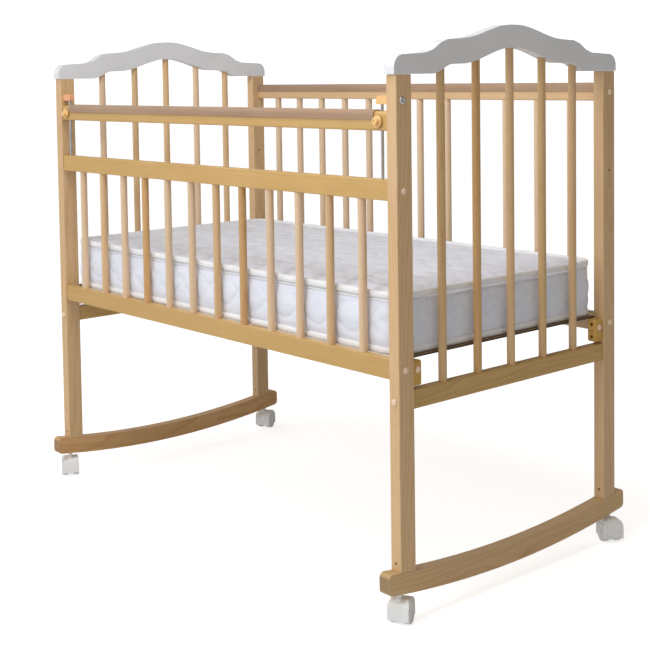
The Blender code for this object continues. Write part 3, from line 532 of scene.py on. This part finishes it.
for side in ("left", "right"):
    dress(f"arch_rail_{side}", PAINT)
    dress(f"latch_knob_{side}", AMBER)
    dress(f"guide_rod_{side}", STEEL)
    for row in ("front", "rear"):
        dress(f"bracket_{row}_{side}", OCHRE)
        dress(f"caster_hood_{row}_{side}", CASTER_WHITE)
        dress(f"caster_wheels_{row}_{side}", CASTER_WHEEL)
dress("rod_holder_left", PEACH)
dress("rod_holder_right", AMBER)
dress("cover_front", VINYL)
dress("cover_rear", VINYL)
dress("slatted_base", BOARD)


# -------------------------------------------------------------- geometry trees

def new_tree(name, inputs):
    """An empty Geometry Nodes tree with named inputs."""
    tree = bpy.data.node_groups.new(name, "GeometryNodeTree")
    tree.interface.new_socket("Geometry", in_out="INPUT", socket_type="NodeSocketGeometry")
    tree.interface.new_socket("Geometry", in_out="OUTPUT", socket_type="NodeSocketGeometry")
    for label, kind in inputs:
        tree.interface.new_socket(label, in_out="INPUT", socket_type=kind)
    start = tree.nodes.new("NodeGroupInput")
    end = tree.nodes.new("NodeGroupOutput")
    return tree, start, end


def grow(name, tree, base_mesh, **values):
    """Runs a tree on a mesh and returns the result as a plain mesh object."""
    holder = bpy.data.objects.new(f"{name}_base", base_mesh)
    SCENE.collection.objects.link(holder)
    modifier = holder.modifiers.new("shape", "NODES")
    modifier.node_group = tree
    identifiers = {item.name: item.identifier for item in tree.interface.items_tree
                   if item.in_out == "INPUT"}
    for label, value in values.items():
        modifier[identifiers[label.replace("_", " ")]] = value
    graph = bpy.context.evaluated_depsgraph_get()
    made = bpy.data.meshes.new_from_object(holder.evaluated_get(graph), depsgraph=graph)
    made.name = name
    bpy.data.objects.remove(holder)
    piece = bpy.data.objects.new(name, made)
    SCENE.collection.objects.link(piece)
    return piece


def make_binding_tree():
    """A band swept round the mattress: an oval section whose size ripples into ribs."""
    tree, start, end = new_tree("ribbed_binding", [
        ("Band Height", "NodeSocketFloat"), ("Band Depth", "NodeSocketFloat"),
        ("Rib Pitch", "NodeSocketFloat"), ("Rib Relief", "NodeSocketFloat"),
        ("Step", "NodeSocketFloat"), ("Material", "NodeSocketMaterial")])
    to_curve = tree.nodes.new("GeometryNodeMeshToCurve")
    link(tree, start.outputs["Geometry"], to_curve.inputs["Mesh"])
    resample = tree.nodes.new("GeometryNodeResampleCurve")
    resample.mode = "LENGTH"
    link(tree, to_curve.outputs["Curve"], resample.inputs["Curve"])
    link(tree, start.outputs["Step"], resample.inputs["Length"])
    travelled = tree.nodes.new("GeometryNodeSplineParameter").outputs["Length"]
    turns = maths(tree, "DIVIDE", travelled, start.outputs["Rib Pitch"])
    wave = maths(tree, "COSINE", maths(tree, "MULTIPLY", turns, 2 * math.pi))
    size = maths(tree, "ADD", maths(tree, "MULTIPLY", wave, start.outputs["Rib Relief"]), 1.0)
    radius = tree.nodes.new("GeometryNodeSetCurveRadius")
    link(tree, resample.outputs["Curve"], radius.inputs["Curve"])
    link(tree, size, radius.inputs["Radius"])
    level = tree.nodes.new("GeometryNodeSetCurveNormal")
    level.mode = "Z_UP"
    link(tree, radius.outputs["Curve"], level.inputs["Curve"])
    section = tree.nodes.new("GeometryNodeCurvePrimitiveCircle")
    section.inputs["Resolution"].default_value = 12
    section.inputs["Radius"].default_value = 1.0
    stretch = tree.nodes.new("GeometryNodeTransform")
    link(tree, section.outputs["Curve"], stretch.inputs["Geometry"])
    sizes = add_node(tree, "ShaderNodeCombineXYZ")
    link(tree, start.outputs["Band Depth"], sizes.inputs["X"])
    link(tree, start.outputs["Band Height"], sizes.inputs["Y"])
    sizes.inputs["Z"].default_value = 1.0
    link(tree, sizes.outputs[0], stretch.inputs["Scale"])
    sweep = tree.nodes.new("GeometryNodeCurveToMesh")
    link(tree, level.outputs["Curve"], sweep.inputs["Curve"])
    link(tree, stretch.outputs["Geometry"], sweep.inputs["Profile Curve"])
    again = tree.nodes.new("GeometryNodeInputRadius").outputs["Radius"]
    link(tree, again, sweep.inputs["Scale"])
    smooth = tree.nodes.new("GeometryNodeSetShadeSmooth")
    link(tree, sweep.outputs["Mesh"], smooth.inputs["Geometry"])
    realize = tree.nodes.new("GeometryNodeRealizeInstances")
    link(tree, smooth.outputs["Geometry"], realize.inputs["Geometry"])
    paint = tree.nodes.new("GeometryNodeSetMaterial")
    link(tree, realize.outputs["Geometry"], paint.inputs["Geometry"])
    link(tree, start.outputs["Material"], paint.inputs["Material"])
    link(tree, paint.outputs["Geometry"], end.inputs["Geometry"])
    return tree


def make_fixing_tree():
    """Puts one template on every point, turned to its 'facing' direction."""
    tree, start, end = new_tree("fixings", [
        ("Template", "NodeSocketObject"), ("Material", "NodeSocketMaterial")])
    points = tree.nodes.new("GeometryNodeMeshToPoints")
    link(tree, start.outputs["Geometry"], points.inputs["Mesh"])
    template = tree.nodes.new("GeometryNodeObjectInfo")
    link(tree, start.outputs["Template"], template.inputs["Object"])
    facing = tree.nodes.new("GeometryNodeInputNamedAttribute")
    facing.data_type = "FLOAT_VECTOR"
    facing.inputs["Name"].default_value = "facing"
    aim = tree.nodes.new("FunctionNodeAlignRotationToVector")
    aim.axis = "Z"
    link(tree, facing.outputs["Attribute"], aim.inputs["Vector"])
    copy = tree.nodes.new("GeometryNodeInstanceOnPoints")
    link(tree, points.outputs["Points"], copy.inputs["Points"])
    link(tree, template.outputs["Geometry"], copy.inputs["Instance"])
    link(tree, aim.outputs["Rotation"], copy.inputs["Rotation"])
    realize = tree.nodes.new("GeometryNodeRealizeInstances")
    link(tree, copy.outputs["Instances"], realize.inputs["Geometry"])
    paint = tree.nodes.new("GeometryNodeSetMaterial")
    link(tree, realize.outputs["Geometry"], paint.inputs["Geometry"])
    link(tree, start.outputs["Material"], paint.inputs["Material"])
    link(tree, paint.outputs["Geometry"], end.inputs["Geometry"])
    return tree


BINDING_TREE = make_binding_tree()
FIXING_TREE = make_fixing_tree()


def turned_template(name, profile, sides=28):
    """A solid turned about Z from (radius, height) points, bottom first."""
    shape = bmesh.new()
    rings = []
    for radius, height in profile:
        if radius < 1e-7:
            rings.append([shape.verts.new((0, 0, height))])
            continue
        step = 2 * math.pi / sides
        rings.append([shape.verts.new((radius * math.cos(k * step), radius * math.sin(k * step), height))
                      for k in range(sides)])
    for lower, upper in zip(rings, rings[1:]):
        for k in range(sides):
            after = (k + 1) % sides
            corners = [lower[k % len(lower)], lower[after % len(lower)],
                       upper[after % len(upper)], upper[k % len(upper)]]
            shape.faces.new(list(dict.fromkeys(corners)))
    for face in shape.faces:
        face.smooth = True
    bmesh.ops.recalc_face_normals(shape, faces=shape.faces)
    mesh = bpy.data.meshes.new(name)
    shape.to_mesh(mesh)
    shape.free()
    return mesh


def fixings(name, template_mesh, places, material, body):
    """Copies of a template at (place, facing) pairs, as one piece."""
    template = bpy.data.objects.new(f"{name}_template", template_mesh)
    SCENE.collection.objects.link(template)
    base = bpy.data.meshes.new(f"{name}_points")
    base.from_pydata([tuple(place) for place, _ in places], [], [])
    facing = base.attributes.new("facing", "FLOAT_VECTOR", "POINT")
    facing.data.foreach_set("vector", [c for _, way in places for c in way])
    piece = grow(name, FIXING_TREE, base, Template=template, Material=material)
    bpy.data.objects.remove(template)
    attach(piece, body)
    return piece


# ------------------------------------------------------------------- mattress

MATTRESS_LOW, MATTRESS_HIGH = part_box("mattress")
HALF_X = MATTRESS_HIGH.x
HALF_Y = MATTRESS_HIGH.y
BASE_Z = MATTRESS_LOW.z
TOP_Z = MATTRESS_HIGH.z
HEIGHT = TOP_Z - BASE_Z
CORNER = 45 * MM
CELL = 8 * MM              # spacing of the cloth
SWELL_FRAMES = 20
SWELL_PRESSURE = 4.0
SWELL_LIMIT = 9 * MM
BELLY = 3.4 * MM           # how far the border bulges between its tapes
CROWN = 6 * MM
CROWN_REACH = 160 * MM     # from the edge to the flat middle of the top
TOP_QUILT = (150 * MM, 115 * MM)
SIDE_QUILT = (210 * MM, 130 * MM)


def edge_gap(x, y):
    """Signed distance inside the mattress outline, positive inside."""
    qx = np.abs(x) - (HALF_X - CORNER)
    qy = np.abs(y) - (HALF_Y - CORNER)
    outside = np.hypot(np.maximum(qx, 0), np.maximum(qy, 0))
    return CORNER - outside - np.minimum(np.maximum(qx, qy), 0)


def outline_points(inset, step=6 * MM):
    """Points round the mattress outline, drawn in by inset."""
    radius = CORNER - inset
    along_x = HALF_X - CORNER
    along_y = HALF_Y - CORNER
    points = []
    for quarter, (sx, sy) in enumerate(((1, 1), (-1, 1), (-1, -1), (1, -1))):
        count = max(6, int(radius * math.pi / 2 / step))
        for k in range(count + 1):
            angle = math.pi / 2 * (quarter + k / count)
            x = sx * along_x + radius * math.cos(angle)
            points.append((x, sy * along_y + radius * math.sin(angle)))
    return points


def loop_mesh(name, inset, height):
    """Closed path round the mattress at one height."""
    points = [(x, y, height) for x, y in outline_points(inset)]
    count = len(points)
    mesh = bpy.data.meshes.new(name)
    mesh.from_pydata(points, [(k, (k + 1) % count) for k in range(count)], [])
    return mesh


def foam_block():
    """Closed block a little smaller than the mattress, as even quads."""
    shape = bmesh.new()
    bmesh.ops.create_cube(shape, size=1.0)
    inset = 7 * MM
    flatter = 10 * MM
    size = Vector((2 * (HALF_X - inset), 2 * (HALF_Y - inset), HEIGHT - flatter))
    bmesh.ops.scale(shape, vec=size, verts=shape.verts)
    bmesh.ops.translate(shape, vec=(0, 0, (TOP_Z + BASE_Z) / 2), verts=shape.verts)
    upright = [e for e in shape.edges
               if abs(e.verts[0].co.z - e.verts[1].co.z) > 0.5 * size.z]
    bmesh.ops.bevel(shape, geom=upright, offset=CORNER - inset, segments=8, profile=0.5,
                    affect="EDGES")
    mesh = bpy.data.meshes.new("foam_block")
    shape.to_mesh(mesh)
    shape.free()
    block = bpy.data.objects.new("foam_block", mesh)
    SCENE.collection.objects.link(block)
    even = block.modifiers.new("even", "REMESH")
    even.mode = "VOXEL"
    even.voxel_size = CELL
    return block


def settled(block):
    """The block's evaluated mesh, with its modifiers applied."""
    graph = bpy.context.evaluated_depsgraph_get()
    mesh = bpy.data.meshes.new_from_object(block.evaluated_get(graph), depsgraph=graph)
    block.modifiers.clear()
    block.data = mesh
    return block


def swell(block):
    """Cloth under pressure rounds the ticking over the foam."""
    cloth = block.modifiers.new("swell", "CLOTH")
    cloth.settings.use_pressure = True
    cloth.settings.uniform_pressure_force = SWELL_PRESSURE
    cloth.settings.effector_weights.gravity = 0.0
    cloth.settings.quality = 3
    cloth.settings.tension_stiffness = 20
    cloth.settings.compression_stiffness = 20
    cloth.settings.bending_stiffness = 8
    cloth.point_cache.frame_start = 1
    cloth.point_cache.frame_end = SWELL_FRAMES
    for number in range(1, SWELL_FRAMES + 1):
        SCENE.frame_set(number)
    settled(block)
    SCENE.frame_set(1)
    return block


def quilt_lines(along, across, pitch):
    """Distance to interlaced wavy stitch lines of one pitch along and across."""
    u = along / pitch[0]
    v = across / pitch[1]
    best = np.full(u.shape, 9.0)
    for sign in (1.0, -1.0):
        lane = v + sign * 0.25 * np.sin(2 * np.pi * u)
        off = np.abs(lane - np.round(lane))
        slope = np.hypot(1.0, 0.25 * 2 * np.pi * np.cos(2 * np.pi * u))
        best = np.minimum(best, off / slope)
    return best * pitch[1]


def make_mattress():
    """Foam mattress body: crowned quilted top and quilted border, drawn in at its top and bottom edges.
    """
    block = settled(foam_block())
    before = np.array([v.co for v in block.data.vertices], float)
    swell(block)
    after = np.array([v.co for v in block.data.vertices], float)
    moved = after - before
    far = np.linalg.norm(moved, axis=1)
    moved *= (np.minimum(far, SWELL_LIMIT) / np.maximum(far, 1e-9))[:, None]
    swollen = before + moved
    for vertex, place in zip(block.data.vertices, swollen):
        vertex.co = place
    finer = block.modifiers.new("finer", "SUBSURF")
    finer.levels = 1
    finer.render_levels = 1
    settled(block)
    shape_mattress(block.data)
    block.name = "mattress_body"
    block.data.name = "mattress_body"
    return block


def shape_mattress(mesh):
    """Pulls the ticking in at the bindings, crowns the top and sews the quilting."""
    count = len(mesh.vertices)
    place = np.empty(count * 3)
    mesh.vertices.foreach_get("co", place)
    place = place.reshape(-1, 3)
    normal = np.empty(count * 3, np.float32)
    mesh.vertices.foreach_get("normal", normal)
    normal = normal.reshape(-1, 3).astype(float)
    x, y, z = place.T
    height = (z - BASE_Z) / HEIGHT
    inside = edge_gap(x, y)
    side = np.clip(np.hypot(normal[:, 0], normal[:, 1]) * 1.3 - 0.2, 0, 1)
    top = np.clip(normal[:, 2] * 1.3 - 0.2, 0, 1)

    # the border bellies out between its tapes
    probe = 0.5 * MM
    out_x = (edge_gap(x - probe, y) - edge_gap(x + probe, y)) / (2 * probe)
    out_y = (edge_gap(x, y - probe) - edge_gap(x, y + probe)) / (2 * probe)
    belly = np.sin(np.pi * np.clip((height - 0.08) / 0.82, 0, 1)) ** 0.8
    goal = 1.8 * MM - BELLY * belly
    near_side = np.clip((26 * MM - inside) / (10 * MM), 0, 1)
    push = (inside - goal) * side * near_side
    x = x + out_x * push
    y = y + out_y * push

    # the top rises to its middle and dips just inside the tape
    crown = np.clip(inside / CROWN_REACH, 0, 1)
    crown = 1 - (1 - crown) ** 2.4
    z = z + CROWN * crown * np.clip(normal[:, 2], 0, 1)
    valley = np.exp(-((inside - 17 * MM) / (7 * MM)) ** 2)
    z = z - 2.2 * MM * valley * top

    # quilting sewn on the top
    stitch = quilt_lines(x, y, TOP_QUILT)
    groove = np.exp(-(stitch / (4.5 * MM)) ** 2)
    puff = np.clip(stitch / (26 * MM), 0, 1) ** 0.6
    edge_fade = np.clip((inside - 12 * MM) / (30 * MM), 0, 1)
    z = z + top * edge_fade * (puff * 1.8 * MM - groove * 1.1 * MM)

    # quilting sewn round the border
    round_it = np.where(np.abs(x) > HALF_X - CORNER, y, x)
    stitch = quilt_lines(round_it, z - BASE_Z + SIDE_QUILT[1] / 2, SIDE_QUILT)
    groove = np.exp(-(stitch / (4.0 * MM)) ** 2)
    puff = np.clip(stitch / (24 * MM), 0, 1) ** 0.6
    band_fade = np.clip((height - 0.14) / 0.12, 0, 1) * np.clip((0.82 - height) / 0.12, 0, 1)
    out = side * band_fade * (puff * 1.7 * MM - groove * 1.3 * MM)
    x = x + normal[:, 0] * out
    y = y + normal[:, 1] * out

    place = np.stack([x, y, z], axis=1)
    mesh.vertices.foreach_set("co", place.astype(np.float32).ravel())
    mesh.update()


def dress_mattress(block):
    """Top and border take their own ticking by face direction; the border's is bluer, partly a painted
    cool cast against the warm surround light.
    """
    mesh = block.data
    mesh.materials.clear()
    mesh.materials.append(TICKING_SIDE_COOL_CAST)
    mesh.materials.append(TICKING_TOP)
    for face in mesh.polygons:
        face.use_smooth = True
        face.material_index = 1 if face.normal.z > 0.5 else 0


def bind_mattress():
    """Ribbed tape round both edges, with a line of piping below the top one."""
    bands = (
        ("mattress_tape_top", 2.2 * MM, TOP_Z - 1.5 * MM, 7.5 * MM, 3.6 * MM, 0.10),
        ("mattress_tape_bottom", 2.2 * MM, BASE_Z + 7.8 * MM, 7.5 * MM, 3.6 * MM, 0.10),
        ("mattress_piping", 1.6 * MM, TOP_Z - 12.5 * MM, 1.5 * MM, 1.5 * MM, 0.0),
    )
    for name, inset, height, half_height, half_depth, relief in bands:
        step = 1.5 * MM if relief else 5 * MM
        piece = grow(name, BINDING_TREE, loop_mesh(name + "_path", inset, height),
                     Band_Height=half_height, Band_Depth=half_depth, Rib_Pitch=6 * MM,
                     Rib_Relief=relief, Step=step, Material=TAPE)
        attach(piece, "bedding")


def stitch_mattress():
    """Thread stitches that hold the tapes, running round just off each tape's edge."""
    half = 1.4 * MM
    thread = 0.45 * MM
    profile = [(0.0, -half), (thread, -0.6 * half), (thread, 0.6 * half), (0.0, half)]
    rows = (("top_stitches", TOP_Z - 14.6 * MM), ("bottom_stitches", BASE_Z + 16.2 * MM))
    for name, height in rows:
        points = [Vector((x, y, height)) for x, y in outline_points(1.0 * MM, 4 * MM)]
        places = []
        for here, after in zip(points, points[1:] + points[:1]):
            count = max(1, int((after - here).length / (4.2 * MM)))
            way = (after - here).normalized()
            places += [(here.lerp(after, (k + 0.5) / count), way) for k in range(count)]
        template = turned_template(name + "_shape", profile, 6)
        fixings(name, template, places, THREAD, "bedding")


mattress = make_mattress()
dress_mattress(mattress)
bind_mattress()
stitch_mattress()
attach(mattress, "bedding")
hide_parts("mattress")


# ------------------------------------------------------------------- fixings

CAP_PROFILE = [(0.0, 0.0), (6.6 * MM, 0.0), (6.9 * MM, 0.5 * MM), (6.6 * MM, 1.4 * MM),
               (5.3 * MM, 2.7 * MM), (2.9 * MM, 3.5 * MM), (0.0, 3.8 * MM)]
SCREW_PROFILE = [(0.0, 0.0), (7.7 * MM, 0.0), (8.0 * MM, 0.5 * MM), (7.0 * MM, 2.2 * MM),
                 (4.6 * MM, 3.1 * MM), (3.3 * MM, 3.2 * MM), (3.0 * MM, 1.8 * MM), (0.0, 1.6 * MM)]
PROUD = 0.1 * MM           # gap that keeps a fixing off the wood
BOLT_INSET = 18 * MM       # from a post's outer face to the end rails' bolts
RAIL_BOLTS = {-1: (834 * MM, 493 * MM), 1: (1008 * MM, 497 * MM)}  # heights by row
LOWER_BOLT = 432.5 * MM
BRACKET_BOLT = 489 * MM
ROD_SCREW = 1005 * MM


def place_fixings():
    """Bolt caps on posts and brackets and the plated screws that hold the top rods."""
    low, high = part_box("post_front_right")
    outer = high.x + PROUD
    middle_x = (low.x + high.x) / 2
    face_y = -low.y + PROUD
    bolt_y = face_y - BOLT_INSET
    bracket_low, bracket_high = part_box("bracket_front_right")
    bracket_x = bracket_high.x + PROUD
    bracket_y = -(bracket_low.y + bracket_high.y) / 2
    caps = []
    screws = []
    for sx in (-1, 1):
        for row, heights in RAIL_BOLTS.items():
            for height in heights:
                caps.append(((sx * outer, row * bolt_y, height), (sx, 0, 0)))
            caps.append(((sx * middle_x, row * face_y, LOWER_BOLT), (0, row, 0)))
            caps.append(((sx * bracket_x, row * bracket_y, BRACKET_BOLT), (sx, 0, 0)))
        screws.append(((sx * outer, -bolt_y - 2 * MM, ROD_SCREW), (sx, 0, 0)))
    fixings("bolt_caps", turned_template("cap", CAP_PROFILE), caps, CAP_BEIGE, "frame")
    fixings("post_screws", turned_template("screw", SCREW_PROFILE), screws, CHROME, "frame")


place_fixings()


# ---------------------------------------------------------- floor, light, camera

FLOOR_REACH = 60.0
FLOOR_GLOW = 0.62          # lifts the floor to the white of the surround
SURROUND_WHITE = 1.2       # strength that the camera sees
LAMPS = (                  # name, place, width, watts
    ("key", (0.6, -3.6, 2.5), 0.9, 28.0),
    ("fill", (-2.2, -3.2, 1.6), 2.6, 12.0),
    ("top", (0.45, -0.75, 2.2), 0.9, 12.0),
)
LAMP_TARGET = (0, 0, 0.75)


def make_stage():
    """Plain white floor that runs to the horizon."""
    mesh = bpy.data.meshes.new("floor")
    corners = [(sx * FLOOR_REACH, sy * FLOOR_REACH, 0)
               for sx, sy in ((-1, -1), (1, -1), (1, 1), (-1, 1))]
    mesh.from_pydata(corners, [], [(0, 1, 2, 3)])
    floor = bpy.data.objects.new("floor", mesh)
    SCENE.collection.objects.link(floor)
    material, tree, principled, _ = new_material(
        "floor_white", Base_Color=(0.90, 0.90, 0.90), Roughness=0.9)
    output = tree.nodes["Material Output"]
    glow = add_node(tree, "ShaderNodeEmission")
    glow.inputs["Color"].default_value = (1, 1, 1, 1)
    seen = add_node(tree, "ShaderNodeLightPath").outputs["Is Camera Ray"]
    link(tree, maths(tree, "MULTIPLY", seen, FLOOR_GLOW), glow.inputs["Strength"])
    both = add_node(tree, "ShaderNodeAddShader")
    link(tree, principled.outputs[0], both.inputs[0])
    link(tree, glow.outputs[0], both.inputs[1])
    link(tree, both.outputs[0], output.inputs["Surface"])
    mesh.materials.append(material)


def make_light():
    """Surround that is white to the camera and lights one side more, with three soft lamps."""
    world = bpy.data.worlds.new("studio")
    SCENE.world = world
    world.use_nodes = True
    tree = world.node_tree
    tree.nodes.clear()
    output = tree.nodes.new("ShaderNodeOutputWorld")
    surround = tree.nodes.new("ShaderNodeBackground")
    seen = add_node(tree, "ShaderNodeLightPath").outputs["Is Camera Ray"]
    towards = add_node(tree, "ShaderNodeVectorMath", operation="DOT_PRODUCT")
    link(tree, add_node(tree, "ShaderNodeTexCoord").outputs["Generated"], towards.inputs[0])
    towards.inputs[1].default_value = (-0.62, -0.78, 0.0)
    share = remap(tree, towards.outputs["Value"], -1.0, 1.0)
    tint = blend_colours(tree, share, (1.0, 0.91, 0.78), (0.96, 0.98, 1.0))
    white = blend_colours(tree, seen, tint, (1.0, 1.0, 1.0))
    link(tree, white, surround.inputs["Color"])
    strength = remap(tree, towards.outputs["Value"], -1.0, 1.0, 0.16, 0.80)
    clear = maths(tree, "SUBTRACT", 1.0, seen)
    strength = maths(tree, "MULTIPLY", strength, clear)
    strength = maths(tree, "ADD", strength, maths(tree, "MULTIPLY", seen, SURROUND_WHITE))
    link(tree, strength, surround.inputs["Strength"])
    link(tree, surround.outputs[0], output.inputs["Surface"])
    for name, place, size, power in LAMPS:
        lamp = bpy.data.lights.new(name, "AREA")
        lamp.shape = "DISK"
        lamp.size = size
        lamp.energy = power
        holder = bpy.data.objects.new(name, lamp)
        SCENE.collection.objects.link(holder)
        holder.location = place
        aim = Vector(LAMP_TARGET) - Vector(place)
        holder.rotation_euler = aim.to_track_quat("-Z", "Y").to_euler()


def make_camera():
    """Eye a little above the rails, off the right-hand front corner."""
    place = Vector((2.29783, -2.00566, 1.05617))
    heading = 0.868635     # radians left of +Y
    dip = 0.0563707
    roll = -0.0152383
    level = math.cos(dip)
    ahead = Vector((-math.sin(heading) * level, math.cos(heading) * level, -math.sin(dip)))
    right = ahead.cross(Vector((0, 0, 1))).normalized()
    up = right.cross(ahead)
    rolled_right = math.cos(roll) * right + math.sin(roll) * up
    rolled_up = -math.sin(roll) * right + math.cos(roll) * up
    axes = Matrix((rolled_right, rolled_up, -ahead)).transposed().to_4x4()
    data = bpy.data.cameras.new("eye")
    data.sensor_width = 36.0
    data.lens = 69.804
    data.shift_x = 0.04993
    data.shift_y = -0.27552
    camera = bpy.data.objects.new("eye", data)
    SCENE.collection.objects.link(camera)
    camera.matrix_world = Matrix.Translation(place) @ axes
    SCENE.camera = camera
    SCENE.view_settings.view_transform = "Standard"


make_stage()
make_light()
make_camera()
